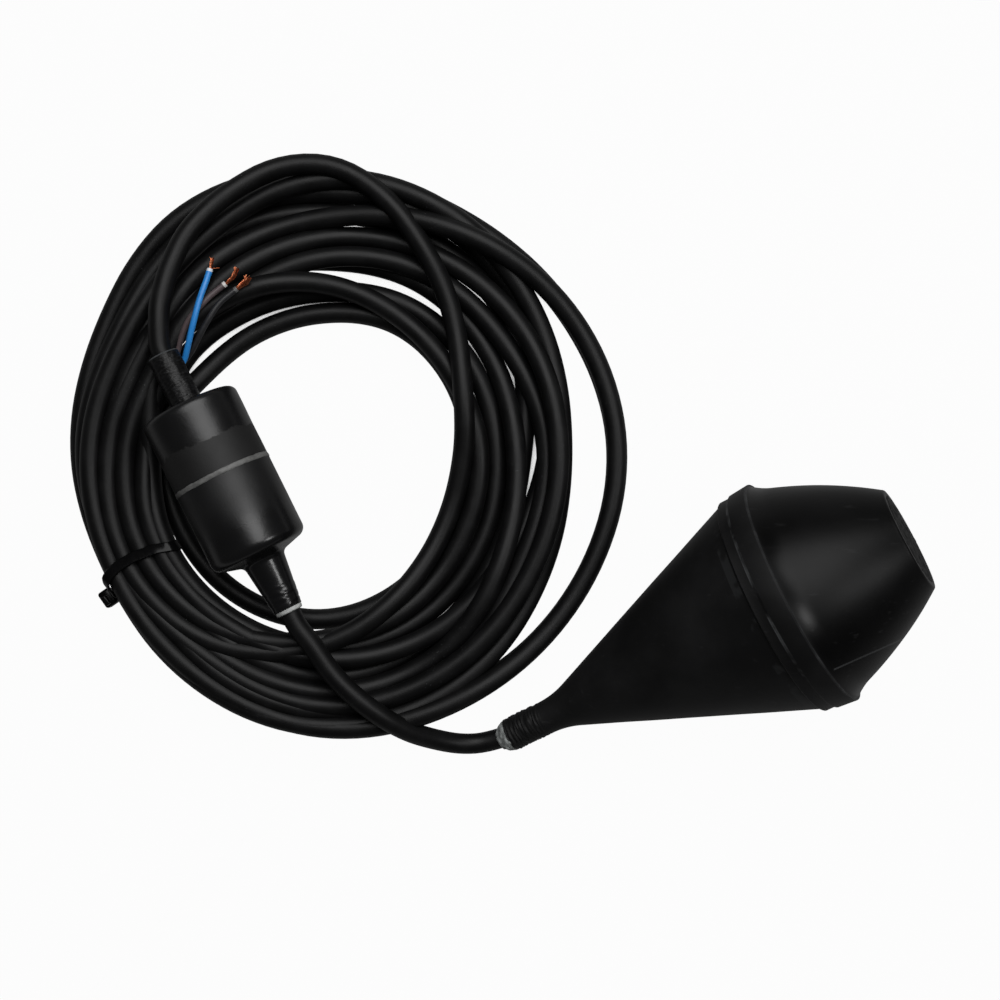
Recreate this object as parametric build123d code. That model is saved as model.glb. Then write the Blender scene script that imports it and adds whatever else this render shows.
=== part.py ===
"""A pear-shaped float switch with its cable, counterweight and tied coil, as it lies on a bench.

Millimetres. +Z is up and the bench is z = 0. The origin is under the middle of the box that the
float and the counterweight fill together, and +X runs from the coil towards the float.
"""
from build123d import *
import os
from math import asin, atan2, cos, degrees, hypot, pi, radians, sin, sqrt, tan

# Float: the two plastic shells, measured along their own axis from the cable's mouth
neck_radius = 7.5
cone_start = 25.5
cone_end = 133.0
cone_end_radius = 48.3
flare_radius = 40.0
shell_wall = 2.5
lip_step = 1.2
lip_length = 5.0
belt_step = 0.7
belt_end = 147.5
belt_rise = 2.9
socket_inset = 0.1
socket_depth = 8.0
socket_wall = 4.0
socket_gap = 0.1
groove_radius = 1.6
cap_end = 196.9
cap_end_radius = 22.8
cap_bulge = 2.2
end_plug_depth = 5.0
end_plug_bulge = 0.8
cap_rim = 2.6

# Cable, its cores and what seals it into the neck
cable_diameter = 8.5
cable_gap = 0.25
core_diameter = 2.8
core_pitch_radius = 1.85
inner_core_diameter = 2.6
neck_seal_length = 3.0
neck_seal_radius = 7.0
neck_seal_bevel = 0.5
neck_seal_shoulder = 1.8
neck_seal_tip = 0.9
jacket_end = 36.0

# Switch capsule inside the cone, on the float's axis
resin_start = 38.0
resin_end = 64.0
cast_gap = 0.1
cast_side_gap = 0.15
capsule_radius = 11.0
capsule_nose_gap = 2.3
capsule_wall = 1.65
capsule_length = 62.0
lid_thickness = 3.0
lid_gap = 0.05
ball_radius = 9.0
ball_gap = 0.3
switch_width = 12.8
switch_thickness = 5.8
switch_height = 6.5
switch_gap = 0.1
terminal_length = 3.6
terminal_pitch = 5.08
terminal_width = 1.6
terminal_thickness = 0.5
cheek_thickness = 1.6
cheek_width = 9.0
cheek_grip = 3.0
button_width = 1.2
button_length = 2.6
button_height = 0.5
button_depth = 1.4
button_offset = -2.0
button_play = 0.05
lever_thickness = 0.3
lever_width = 3.4
lever_reach = 11.6
lever_pin_radius = 0.4
lever_pin_offset = -5.4
lever_pin_height = 0.85
lever_play = 0.05
ear_thickness = 0.8

# Where the float lies, as the photograph shows it
float_mouth_x = -9.14
float_mouth_y = -82.78
float_heading = 28.45
neck_lift = 1.5

# Counterweight, measured along its own axis from the end of its upper sleeve
weight_radius = 22.0
weight_wall = 2.4
sleeve_length = 26.0
sleeve_radius = 7.0
sleeve_wall = 2.2
sleeve_foot = 3.0
sleeve_foot_step = 4.0
weight_seam = 57.0
weight_edge_radius = 3.2
body_end = 94.2
shoulder_radius = 4.5
stem_start = 99.4
stem_length = 24.0
stem_root_radius = 8.0
stem_tip_radius = 6.2
stem_blend = 3.0
floor_wall = 4.0
inner_bevel = 5.0
seam_band_width = 3.6
seam_band_depth = 1.0
seam_band_proud = 0.25
lower_ring_length = 2.0
lower_ring_radius = 5.7
ballast_gap = 0.15
bore_gap = 0.5
stem_clearance = 1.5

weight_end_x = -161.8
weight_end_y = 86.34
weight_heading = -63.7
weight_height = 32.0

# Coil of cable: its middle, its height and the radii of its outer and inner edge at twelve directions
coil_x = -94.6
coil_y = 45.5
coil_height = 17.5
coil_edge_radius = 5.5
coil_gap = 0.4
bundle_height = 22.5
bundle_angle = 34.0
bundle_edge_radius = 7.0
coil_outer_radii = (136.8, 130.5, 125.0, 132.5, 127.5, 117.0, 113.7, 112.8, 120.5, 129.0, 131.5, 135.3)
coil_inner_radii = (59.3, 61.5, 61.0, 57.8, 56.6, 59.5, 66.8, 68.6, 71.3, 72.2, 67.8, 60.2)

# Cable tie round the bundle
tie_direction = 211.0
tie_width = 4.6
tie_thickness = 1.3
tie_head_length = 7.0
tie_head_width = 8.0
tie_head_height = 5.5
tie_head_place = 9.0
tie_head_edge = 1.0
tie_tail_length = 6.0
tie_tail_thickness = 2.5
tie_tail_width = 4.1
tie_inner_radius = 75.5
tie_gap = 0.25

# Free cable: it leaves each mouth straight for a short run, then follows hand-picked points
mouth_run = 12.5
arc_share = 0.45
lead_points = [
    (-32.1, -91.1, 4.3),
    (-44.9, -90.1, 4.8),
    (-57.7, -84.8, 9.2),
    (-69.5, -76.4, 15.2),
    (-80.3, -65.8, 21.0),
    (-90.3, -53.0, 26.2),
]
riser_points = [
    (-168.6, 109.3, 31.2),
    (-167.1, 120.8, 28.4),
    (-163.3, 131.8, 24.0),
    (-156.5, 141.6, 19.0),
]
jacket_end_points = [
    (-171.3, 57.8, 11.6),
    (-168.5, 67.8, 16.4),
    (-161.9, 77.6, 20.0),
]

# Stripped end of the cable: each core's hand-picked points, and the loose copper past its cut
tuft_length = 6.5
tuft_radius = 1.5
tuft_root_radius = 1.1
core_run = 3.0
blue_points = [(-155.1, 87.6, 22.6), (-152.5, 98.1, 22.6), (-149.5, 108.2, 22.6), (-145.9, 118.2, 20.4),
               (-143.5, 126.3, 19.6)]
brown_points = [(-158.4, 89.6, 19.4), (-155.3, 99.2, 19.3), (-149.5, 107.2, 19.3), (-143.3, 114.6, 19.3),
                (-136.5, 119.8, 19.3)]
black_points = [(-152.9, 87.4, 19.3), (-148.2, 96.0, 19.3), (-143.5, 104.2, 19.3), (-138.9, 111.0, 19.3),
                (-132.1, 116.6, 19.3)]

bundle_outer_radius = min(coil_outer_radii[6:9])
belt_radius = cone_end_radius + belt_rise
socket_radius = cone_end_radius - socket_inset
socket_floor = belt_end - socket_depth
plug_radius = cap_end_radius - cap_rim
cone_slope = (cone_end_radius - neck_radius) / (cone_end - cone_start)
inside_start_radius = cone_end_radius - (cone_end - resin_start) * cone_slope - shell_wall
inside_end_radius = cone_end_radius - (cone_end - socket_floor) * cone_slope - socket_wall
inside_slope = (inside_end_radius - inside_start_radius) / (socket_floor - resin_start)
capsule_start = resin_start + (capsule_radius + capsule_nose_gap - inside_start_radius) / inside_slope
lip_start = cone_end + lip_step / 3
lip_radius = cone_end_radius + lip_step
rise = lip_radius - neck_radius
float_tilt = degrees(atan2(rise, lip_start) - asin(neck_lift / hypot(rise, lip_start)))
float_mouth_z = neck_radius * cos(radians(float_tilt)) + neck_lift


def direction(heading, tilt=0.0):
    """Unit vector for a heading in the bench plane and a tilt above it, in degrees."""
    flat = cos(radians(tilt))
    return Vector(flat * cos(radians(heading)), flat * sin(radians(heading)), sin(radians(tilt)))


float_axis = direction(float_heading, float_tilt)
float_frame = Plane(
    origin=(float_mouth_x, float_mouth_y, float_mouth_z),
    x_dir=direction(float_heading + 90),
    z_dir=float_axis,
)
weight_frame = Plane(
    origin=(weight_end_x, weight_end_y, weight_height),
    x_dir=(0, 0, 1),
    z_dir=direction(weight_heading),
)


def turned(outline):
    """Solid of revolution about the local Z axis from a closed (radius, height) outline."""
    return revolve(Plane.XZ * make_face(outline), Axis.Z)


def turned_profile(points):
    """Solid of revolution from straight-sided (radius, height) points."""
    return turned(Polyline(*points, close=True))


def tube(z_low, z_high, outer, inner):
    return turned_profile([(inner, z_low), (outer, z_low), (outer, z_high), (inner, z_high)])


def inside_radius(z):
    """Radius of the cone's inside at a distance from the mouth."""
    return inside_start_radius + (z - resin_start) * inside_slope


def float_cone():
    """Long cone with the cable's neck at one end and the belt that takes the cap at the other."""
    lip_end = cone_end + lip_length
    flank = FilletPolyline(
        (neck_radius, 0), (neck_radius, cone_start), (cone_end_radius, cone_end), radius=flare_radius
    )
    belt = Polyline(
        (cone_end_radius, cone_end),
        (lip_radius, lip_start),
        (lip_radius, lip_end),
        (lip_radius + belt_step, lip_end + belt_step),
        (belt_radius, belt_end),
        (socket_radius + groove_radius, belt_end),
        (socket_radius, belt_end - groove_radius),
        (socket_radius, socket_floor),
        (inside_end_radius, socket_floor),
        (inside_start_radius, resin_start),
        (cable_diameter / 2 + cable_gap, resin_start),
        (cable_diameter / 2 + cable_gap, 0),
        (neck_radius, 0),
    )
    return turned(flank + belt)


def cap_radius_arc(start_radius, start_z, end_radius, end_z, bulge):
    """Bowed flank between two (radius, height) points."""
    length = hypot(end_radius - start_radius, end_z - start_z)
    out = ((end_z - start_z) / length, (start_radius - end_radius) / length)
    middle = (
        (start_radius + end_radius) / 2 + bulge * out[0],
        (start_z + end_z) / 2 + bulge * out[1],
    )
    return ThreePointArc((start_radius, start_z), middle, (end_radius, end_z))


def float_cap():
    """Bowed cap whose spigot sits in the belt's socket; its far end is open for the end plug."""
    spigot_start = belt_end - socket_depth + socket_gap
    spigot_radius = socket_radius - socket_gap
    inner_radius = spigot_radius - shell_wall
    outside = cap_radius_arc(spigot_radius, belt_end, cap_end_radius, cap_end, cap_bulge)
    plug_floor = cap_end - end_plug_depth
    inside = cap_radius_arc(inner_radius, belt_end, plug_radius, plug_floor, cap_bulge)
    rest = Polyline((cap_end_radius, cap_end), (plug_radius, cap_end), (plug_radius, plug_floor))
    spigot = Polyline(
        (inner_radius, belt_end), (inner_radius, spigot_start), (spigot_radius, spigot_start),
        (spigot_radius, belt_end),
    )
    return turned(outside + rest + inside + spigot)


def float_end_plug():
    """Slightly domed plug that closes the cap's flat end."""
    radius = plug_radius - socket_gap
    floor = cap_end - end_plug_depth
    dome_radius = (radius * radius + end_plug_bulge * end_plug_bulge) / (2 * end_plug_bulge)
    half_way = sqrt(dome_radius * dome_radius - radius * radius / 4) - dome_radius
    top = cap_end + end_plug_bulge
    dome = ThreePointArc((radius, cap_end), (radius / 2, top + half_way), (0, top))
    sides = Polyline((0, top), (0, floor), (radius, floor), (radius, cap_end))
    return turned(dome + sides)


def neck_seal():
    """Collar of sealant round the cable at the neck's mouth."""
    inner = cable_diameter / 2
    return turned_profile([
        (inner, 0), (neck_seal_radius, 0), (neck_seal_radius - neck_seal_bevel, -neck_seal_shoulder),
        (inner + neck_seal_tip, -neck_seal_length), (inner, -neck_seal_length),
    ])


def core_places(radius=core_pitch_radius):
    """The three cores' places round the cable's axis."""
    return [Location((radius * cos(radians(a)), radius * sin(radians(a)), 0)) for a in (90, 210, 330)]


def inner_jacket():
    """The cable's jacket inside the neck, from the mouth to where it is stripped."""
    return tube(0, jacket_end, cable_diameter / 2, 0)


def inner_cores():
    """Three cores from the stripped jacket through the resin to the switch's terminals."""
    terminal_base = capsule_start + lid_thickness
    radius = inner_core_diameter / 2
    return [
        place * Pos(0, 0, jacket_end) * Cylinder(
            radius, terminal_base - jacket_end, align=(Align.CENTER, Align.CENTER, Align.MIN)
        )
        for place in core_places()
    ]


def potting_resin():
    """Resin cast round the capsule's nose, which holds it in the cone."""
    core_hole = core_pitch_radius + inner_core_diameter / 2 + cast_gap
    start = resin_start + cast_gap
    wide = inside_radius(resin_end) - cast_side_gap
    nose = capsule_start - cast_gap
    side = capsule_radius + cast_gap
    return turned_profile([
        (core_hole, start), (inside_radius(start) - cast_side_gap, start), (wide, resin_end),
        (side, resin_end), (side, nose), (core_hole, nose),
    ])


def capsule_tube():
    """Tube that the ball rolls in, closed at its far end."""
    start = capsule_start + lid_thickness
    end = capsule_start + capsule_length
    inner = capsule_radius - capsule_wall
    return turned_profile([
        (inner, start), (capsule_radius, start), (capsule_radius, end), (0, end),
        (0, end - capsule_wall), (inner, end - capsule_wall),
    ])


switch_base = capsule_start + lid_thickness + terminal_length
switch_top = switch_base + switch_height


def capsule_lid():
    """Lid at the cable's side, with two cheeks that grip the microswitch."""
    low = (Align.CENTER, Align.CENTER, Align.MIN)
    disc = Pos(0, 0, capsule_start) * Cylinder(capsule_radius, lid_thickness, align=low)
    height = lid_thickness + terminal_length + cheek_grip
    for side in (-1, 1):
        offset = side * (switch_thickness / 2 + switch_gap + cheek_thickness / 2)
        disc += Pos(0, offset, capsule_start) * Box(cheek_width, cheek_thickness, height, align=low)
    for place in core_places():
        disc -= place * Pos(0, 0, capsule_start) * Cylinder(
            inner_core_diameter / 2 + lid_gap, lid_thickness, align=low
        )
    return disc


def switch_case():
    """Microswitch body with a well for its button and an ear on each side of the lever's pin."""
    low = (Align.CENTER, Align.CENTER, Align.MIN)
    case = Pos(0, 0, switch_base) * Box(switch_width, switch_thickness, switch_height, align=low)
    well_width = button_width + 2 * button_play
    well_length = button_length + 2 * button_play
    case -= Pos(button_offset, 0, switch_top - button_depth) * Box(
        well_width, well_length, button_depth, align=low
    )
    ear_height = lever_pin_height + 2 * lever_pin_radius
    for side in (-1, 1):
        offset = side * (lever_width / 2 + ear_thickness / 2 + button_play)
        case += Pos(lever_pin_offset, offset, switch_top) * Box(
            4 * lever_pin_radius, ear_thickness, ear_height, align=low
        )
    pin = Pos(lever_pin_offset, 0, switch_top + lever_pin_height) * Rot(90, 0, 0) * Cylinder(
        lever_pin_radius, lever_width + 2 * (ear_thickness + button_play)
    )
    return case + pin


def switch_terminals():
    """Three terminal blades under the microswitch, each at its core."""
    low = (Align.CENTER, Align.CENTER, Align.MIN)
    height = switch_base - capsule_start - lid_thickness
    return [
        Pos(step * terminal_pitch, 0, capsule_start + lid_thickness) * Box(
            terminal_width, terminal_thickness, height, align=low
        )
        for step in (-1, 0, 1)
    ]


def switch_button():
    low = (Align.CENTER, Align.CENTER, Align.MIN)
    height = button_depth + button_height - 2 * button_play
    return Pos(button_offset, 0, switch_top - button_depth + button_play) * Box(
        button_width, button_length, height, align=low
    )


def switch_lever():
    """Flat spring-steel lever with its eye on the pin; the ball presses on its free end."""
    low = (Align.MIN, Align.CENTER, Align.MIN)
    bore = lever_pin_radius + lever_play
    pin = Pos(lever_pin_offset, 0, switch_top + lever_pin_height) * Rot(90, 0, 0)
    eye = pin * Cylinder(bore + lever_thickness, lever_width)
    strip = Pos(lever_pin_offset, 0, switch_top + button_height) * Box(
        lever_reach, lever_width, lever_thickness, align=low
    )
    return eye + strip - pin * Cylinder(bore, lever_width)


def steel_ball():
    """Ball at the cable's end of its travel, resting on the lever."""
    return Pos(0, 0, ball_rest()) * Sphere(ball_radius)


def ball_rest():
    lever_top = switch_top + button_height + lever_thickness
    return lever_top + ball_gap + ball_radius


def upper_shell():
    """Upper cup of the counterweight, with a hole in its top for the sleeve."""
    rim = weight_seam - seam_band_width / 2
    hole = sleeve_radius
    inner = weight_radius - weight_wall
    top = sleeve_length
    outside = FilletPolyline(
        (hole, top), (weight_radius, top), (weight_radius, rim), radius=weight_edge_radius
    )
    inside = Polyline(
        (weight_radius, rim), (weight_radius - seam_band_depth, rim),
        (weight_radius - seam_band_depth, weight_seam), (inner, weight_seam),
        (inner, top + weight_wall), (hole, top + weight_wall), (hole, top),
    )
    return turned(outside + inside)


def lower_shell():
    """Lower cup, whose rounded shoulder runs out into the stem that the cable leaves by."""
    rim = weight_seam + seam_band_width / 2
    inner = weight_radius - weight_wall
    tip = stem_start + stem_length
    bore = cable_diameter / 2 + bore_gap
    outside = FilletPolyline(
        (weight_radius, rim), (weight_radius, body_end), (stem_root_radius, stem_start),
        (stem_tip_radius, tip), radius=(shoulder_radius, stem_blend),
    )
    floor = body_end - floor_wall
    inside = Polyline(
        (stem_tip_radius, tip), (bore, tip), (bore, floor), (inner - inner_bevel, floor),
        (inner, floor - inner_bevel),
        (inner, weight_seam), (weight_radius - seam_band_depth, weight_seam),
        (weight_radius - seam_band_depth, rim), (weight_radius, rim),
    )
    return turned(outside + inside)


def seam_band():
    """Band of sealant that fills the seam between the two cups."""
    low = weight_seam - seam_band_width / 2
    return tube(low, low + seam_band_width, weight_radius + seam_band_proud, weight_radius - seam_band_depth)


def weight_ballast():
    """Iron slug with the cable's bore through it."""
    outer = weight_radius - weight_wall - ballast_gap
    low = sleeve_length + weight_wall + sleeve_foot
    high = body_end - floor_wall - ballast_gap
    bore = cable_diameter / 2 + bore_gap
    return turned_profile([
        (bore, low), (outer, low), (outer, high - inner_bevel), (outer - inner_bevel, high), (bore, high),
    ])


def weight_sleeve():
    """Upper sleeve round the cable, with a foot that sits between the ballast and the cup's top."""
    foot = sleeve_length + weight_wall
    inner = sleeve_radius - sleeve_wall
    foot_radius = sleeve_radius + sleeve_foot_step
    return turned_profile([
        (inner, 0), (sleeve_radius, 0), (sleeve_radius, foot), (foot_radius, foot),
        (foot_radius, foot + sleeve_foot - ballast_gap), (inner, foot + sleeve_foot - ballast_gap),
    ])


def stem_seal():
    """Sealant ring round the cable at the stem's mouth."""
    tip = stem_start + stem_length
    return tube(tip, tip + lower_ring_length, lower_ring_radius, cable_diameter / 2)


def weight_cable():
    """The cable's straight run inside the counterweight, from the sleeve's mouth to the stem's seal."""
    high = stem_start + stem_length + lower_ring_length
    return tube(0, high, cable_diameter / 2, 0)


def route(points):
    """Straight runs joined by the largest arcs that the runs allow; prints the arcs' radii."""
    corners = [Vector(p) for p in points]
    runs = [b - a for a, b in zip(corners, corners[1:])]
    radii = []
    for before, after in zip(runs, runs[1:]):
        half_turn = radians(before.get_angle(after)) / 2
        radii.append(arc_share * min(before.length, after.length) / tan(half_turn))
    print("arc radii", [round(r, 1) for r in radii])
    return FilletPolyline(*points, radius=radii)


def swept(path, radius):
    """Round bar along a path."""
    start = Plane(origin=path @ 0, z_dir=path % 0)
    bar = sweep(start * Circle(radius), path=path)
    print("bar", round(bar.volume / (path.length * pi * radius * radius), 4))
    return bar


def on_axis(frame, height):
    """A point on a frame's own Z axis, as a plain tuple in the bench's frame."""
    point = frame.from_local_coords(Vector(0, 0, height))
    print("axis point", round(point.X, 2), round(point.Y, 2), round(point.Z, 2))
    return (point.X, point.Y, point.Z)


def lead_path():
    """From the float's mouth to the seal at the counterweight's stem."""
    seal = stem_start + stem_length + lower_ring_length
    first = [on_axis(float_frame, 0), on_axis(float_frame, -mouth_run)]
    last = [on_axis(weight_frame, seal + mouth_run), on_axis(weight_frame, seal)]
    return route(first + lead_points + last)


def riser_path():
    """From the counterweight's sleeve up over the coil, to where the turns begin."""
    first = [on_axis(weight_frame, 0), on_axis(weight_frame, -mouth_run)]
    return route(first + riser_points)


def stripped_end_frame():
    """Plane of the jacket's cut end under the sleeve, with its Y pointing up."""
    last, end = Vector(jacket_end_points[-2]), Vector(jacket_end_points[-1])
    way = (end - last).normalized()
    return Plane(origin=end, x_dir=Vector(0, 0, 1).cross(way), z_dir=way)


def ring_outline(radii):
    """Closed smooth outline through one radius for each of equal directions round the coil."""
    step = 360 / len(radii)
    points = [
        (coil_x + r * cos(radians(i * step)), coil_y + r * sin(radians(i * step)))
        for i, r in enumerate(radii)
    ]
    return make_face(Spline(*points, periodic=True))


def weight_envelope(gap):
    """The counterweight's outside, grown by a gap."""
    body = tube(sleeve_length - gap, stem_start + gap, weight_radius + seam_band_proud + gap, 0)
    stem_radius = stem_root_radius + stem_clearance + gap
    stem = tube(-gap, stem_start + stem_length + lower_ring_length + gap, stem_radius, 0)
    return weight_frame.location * (body + stem)


def tie_frame():
    """Plane of the strap: its X points outward from the coil's middle and its Y up."""
    out = direction(tie_direction)
    return Plane(
        origin=(coil_x, coil_y, 0), x_dir=out, z_dir=out.cross(Vector(0, 0, 1))
    )


def strap_section(grow=0.0):
    """The strap's loop as a thick ring round the bundle, drawn in the tie's plane."""
    inner_edge = tie_inner_radius - tie_gap
    width = bundle_outer_radius + tie_gap - inner_edge
    middle = inner_edge + width / 2
    hole_height = bundle_height + tie_gap - tie_thickness
    corner = bundle_edge_radius
    loop = RectangleRounded(
        width + 2 * (tie_thickness + grow), hole_height + 2 * (tie_thickness + grow), corner + tie_thickness
    )
    hole = RectangleRounded(width - 2 * grow, hole_height - 2 * grow, corner)
    ring = extrude(loop - hole, tie_width / 2 + grow, both=True)
    return tie_frame().location * Pos(middle, hole_height / 2 + tie_thickness, 0) * ring


def cable_tie():
    """Strap round the bundle with its head and cut tail on the outer side."""
    low = (Align.MIN, Align.CENTER, Align.CENTER)
    outer_edge = bundle_outer_radius + tie_gap + tie_thickness
    head = Pos(outer_edge, tie_head_place, 0) * Box(
        tie_head_height, tie_head_length, tie_head_width, align=low
    )
    head = fillet(head.edges().filter_by(Axis.Y), tie_head_edge)
    tail = Pos(outer_edge, tie_head_place + tie_head_length / 2, 0) * Box(
        tie_tail_thickness, tie_tail_length, tie_tail_width, align=low
    )
    return strap_section() + tie_frame().location * (head + tail)


def tied_bundle():
    """The turns where the tie gathers them, higher than the rest of the coil."""
    width = bundle_outer_radius - tie_inner_radius
    section = Pos(tie_inner_radius + width / 2, bundle_height / 2) * Rectangle(width, bundle_height)
    high = section.vertices().filter_by(lambda v: v.Y > bundle_height / 2)
    section = fillet(high, bundle_edge_radius)
    axis = Axis((coil_x, coil_y, 0), (0, 0, 1))
    start = tie_direction - bundle_angle / 2
    out = direction(start)
    plane = Plane(origin=(coil_x, coil_y, 0), x_dir=out, z_dir=out.cross(Vector(0, 0, 1)))
    return revolve(plane * section, axis, bundle_angle)


def cord_coil(lead, riser, stripped):
    """Closed solid of the coil's outer shape, with beds for what lies on and round it."""
    ring = extrude(ring_outline(coil_outer_radii) - ring_outline(coil_inner_radii), coil_height)
    top = ring.edges().filter_by(lambda e: e.center().Z > coil_height - 0.01)
    ring = fillet(top, coil_edge_radius)
    ring += tied_bundle()
    ring -= weight_envelope(coil_gap)
    grown = cable_diameter / 2 + coil_gap
    ring -= swept(lead, grown)
    ring -= swept(riser, cable_diameter / 2)
    ring -= swept(stripped, cable_diameter / 2)
    return ring - strap_section(tie_gap)


def core_bar(place, points):
    """One core, from its place in the jacket's cut end."""
    frame = stripped_end_frame()
    x, y = place.position.X, place.position.Y
    first = [tuple(frame.from_local_coords(Vector(x, y, height))) for height in (0, core_run)]
    return swept(route(first + points), core_diameter / 2)


def copper_tuft(points):
    """Short splayed brush of strands past a core's cut end."""
    end = Vector(points[-1])
    way = (end - Vector(points[-2])).normalized()
    brush = Cone(tuft_root_radius, tuft_radius, tuft_length, align=(Align.CENTER, Align.CENTER, Align.MIN))
    return Plane(origin=end, z_dir=way).location * brush


def build():
    """All sub-parts by name."""
    lead = lead_path()
    riser = riser_path()
    stripped = route(jacket_end_points)
    on_float = {
        "float_cone": float_cone(),
        "float_cap": float_cap(),
        "float_end_plug": float_end_plug(),
        "neck_seal": neck_seal(),
        "cable_end_in_neck": inner_jacket(),
        "inner_cores": Compound(children=inner_cores()),
        "potting_resin": potting_resin(),
        "capsule_tube": capsule_tube(),
        "capsule_lid": capsule_lid(),
        "microswitch_case": switch_case(),
        "microswitch_terminals": Compound(children=switch_terminals()),
        "microswitch_button": switch_button(),
        "microswitch_lever": switch_lever(),
        "steel_ball": steel_ball(),
    }
    on_weight = {
        "weight_upper_shell": upper_shell(),
        "weight_lower_shell": lower_shell(),
        "weight_seam_band": seam_band(),
        "weight_ballast": weight_ballast(),
        "weight_sleeve": weight_sleeve(),
        "weight_stem_seal": stem_seal(),
        "cable_in_weight": weight_cable(),
    }
    parts = {name: float_frame.location * shape for name, shape in on_float.items()}
    parts.update({name: weight_frame.location * shape for name, shape in on_weight.items()})
    parts["cord_lead"] = swept(lead, cable_diameter / 2)
    parts["cord_riser"] = swept(riser, cable_diameter / 2)
    parts["cord_stripped_end"] = swept(stripped, cable_diameter / 2)
    parts["cord_coil"] = cord_coil(lead, riser, stripped)
    parts["cable_tie"] = cable_tie()
    colours = {"blue": blue_points, "black": black_points, "brown": brown_points}
    for place, (colour, points) in zip(core_places(), colours.items()):
        parts["core_" + colour] = core_bar(place, points)
        parts["copper_" + colour] = copper_tuft(points)
    return parts


def main():
    os.makedirs("parts", exist_ok=True)
    parts = build()
    for name, shape in parts.items():
        export_step(shape, "parts/" + name + ".step")
    body = Compound(children=[
        shape for name, shape in parts.items() if name.startswith(("float", "weight", "neck"))
    ])
    box = body.bounding_box()
    print("box of the float and the weight", box)
    print("centre", round((box.min.X + box.max.X) / 2, 3), round((box.min.Y + box.max.Y) / 2, 3))
    local_pin = Vector(lever_pin_offset, 0, switch_top + lever_pin_height)
    print("lever pin", float_frame.from_local_coords(local_pin), "ball axis", float_axis)
    print("lever axis", float_frame.y_dir * -1, "tilt", round(float_tilt, 3))


main()
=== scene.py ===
import math
import random
from contextlib import contextmanager

import bmesh
import bpy
from mathutils import Matrix, Vector, noise


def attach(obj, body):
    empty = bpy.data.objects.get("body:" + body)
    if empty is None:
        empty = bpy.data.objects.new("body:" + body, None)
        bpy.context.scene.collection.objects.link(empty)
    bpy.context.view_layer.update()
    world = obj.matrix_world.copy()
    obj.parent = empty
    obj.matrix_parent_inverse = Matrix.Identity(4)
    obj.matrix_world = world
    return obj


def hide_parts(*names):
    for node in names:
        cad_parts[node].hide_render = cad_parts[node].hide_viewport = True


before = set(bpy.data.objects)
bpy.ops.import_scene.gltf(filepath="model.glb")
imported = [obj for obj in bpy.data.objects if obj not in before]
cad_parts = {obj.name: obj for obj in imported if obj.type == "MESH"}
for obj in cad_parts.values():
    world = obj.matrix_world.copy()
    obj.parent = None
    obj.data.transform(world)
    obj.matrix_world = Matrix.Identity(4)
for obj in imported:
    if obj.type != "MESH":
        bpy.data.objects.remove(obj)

bl_info = {
    "name": "Float switch with coiled cable",
    "version": (1, 0, 0),
    "blender": (4, 5, 0),
    "location": "3D View > Sidebar > Float switch",
    "description": "Dresses the float switch, its counterweight and its tied coil of cable",
    "category": "Object",
}

# A millimetre in metres, the soft edge of a painted band in millimetres, and the angle from which an
# edge of a shell stays crisp
MM = 0.001
EDGE = 0.3
CRISP = 32.0

# Camera: straight above the bench, where the photograph was taken from. TRACE_HEIGHT is the height
# above the bench at which the coil was traced.
CAMERA_X = -14.3
CAMERA_Y = 23.16
CAMERA_HEIGHT = 750.0
CAMERA_ANGLE = 33.92
CAMERA_REACH = 10.0
TRACE_HEIGHT = 10.0

# Stage, in metres: two soft lamps, the spot that they aim at, and the bench
OVERHEAD_PLACE = (0.08, 0.6, 1.08)
OVERHEAD_SIZE = 1.0
SIDE_PLACE = (0.85, 0.05, 1.05)
SIDE_SIZE = 0.3
LAMP_AIM = (-0.02, 0.02, 0.0)
BENCH_HALF = 6.0
BENCH_DROP = 0.0002
WHITE = (1.0, 1.0, 1.0, 1.0)

# How white the bench is to the camera and in gloss, and how close a piece has to be to grey it with painted
# contact shade
SEEN_WHITE = 0.97
MIRRORED_WHITE = 0.1
CONTACT_REACH = 0.012
CONTACT_DARK = 0.045
CONTACT_CLEAR = 0.15

# Float, along its own axis from the cable's mouth
FLOAT_MOUTH = (-9.14, -82.78, 8.69)
FLOAT_HEADING = 28.45
FLOAT_TILT = 16.862
NECK_RADIUS = 7.5
CONE_START = 25.5
CONE_END = 133.0
CONE_END_RADIUS = 48.3
FLARE_RADIUS = 40.0
SHELL_WALL = 2.5
LIP_STEP = 1.2
LIP_LENGTH = 5.0
BELT_STEP = 0.7
BELT_END = 147.5
BELT_RADIUS = 51.2
SOCKET_RADIUS = 48.2
SOCKET_DEPTH = 8.0
SOCKET_WALL = 4.0
GROOVE_RADIUS = 1.6
NECK_BORE = 4.5
RESIN_START = 38.0
SEAT_GAP = 0.1
CAP_END = 196.9
CAP_END_RADIUS = 22.8
CAP_BULGE = 2.2
FILLET_LENGTH = 8.0
FILLET_HEIGHT = 1.9
PLUG_RADIUS = 20.2
PLUG_DEPTH = 5.0
PLUG_BULGE = 0.8
SEAL_BORE = 4.6
CONE_WAVE = 0.1
CAP_WAVE = 0.12

# Thin flash line on the cap: its start, its way, the plane that it lies in, and its length
FLASH_START = (120.6, -44.9, 90.0)
FLASH_WAY = (0.732, 0.199, -0.65)
FLASH_NORMAL = (0.3994, -0.9, 0.1743)
FLASH_LENGTH = 48.0

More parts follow.
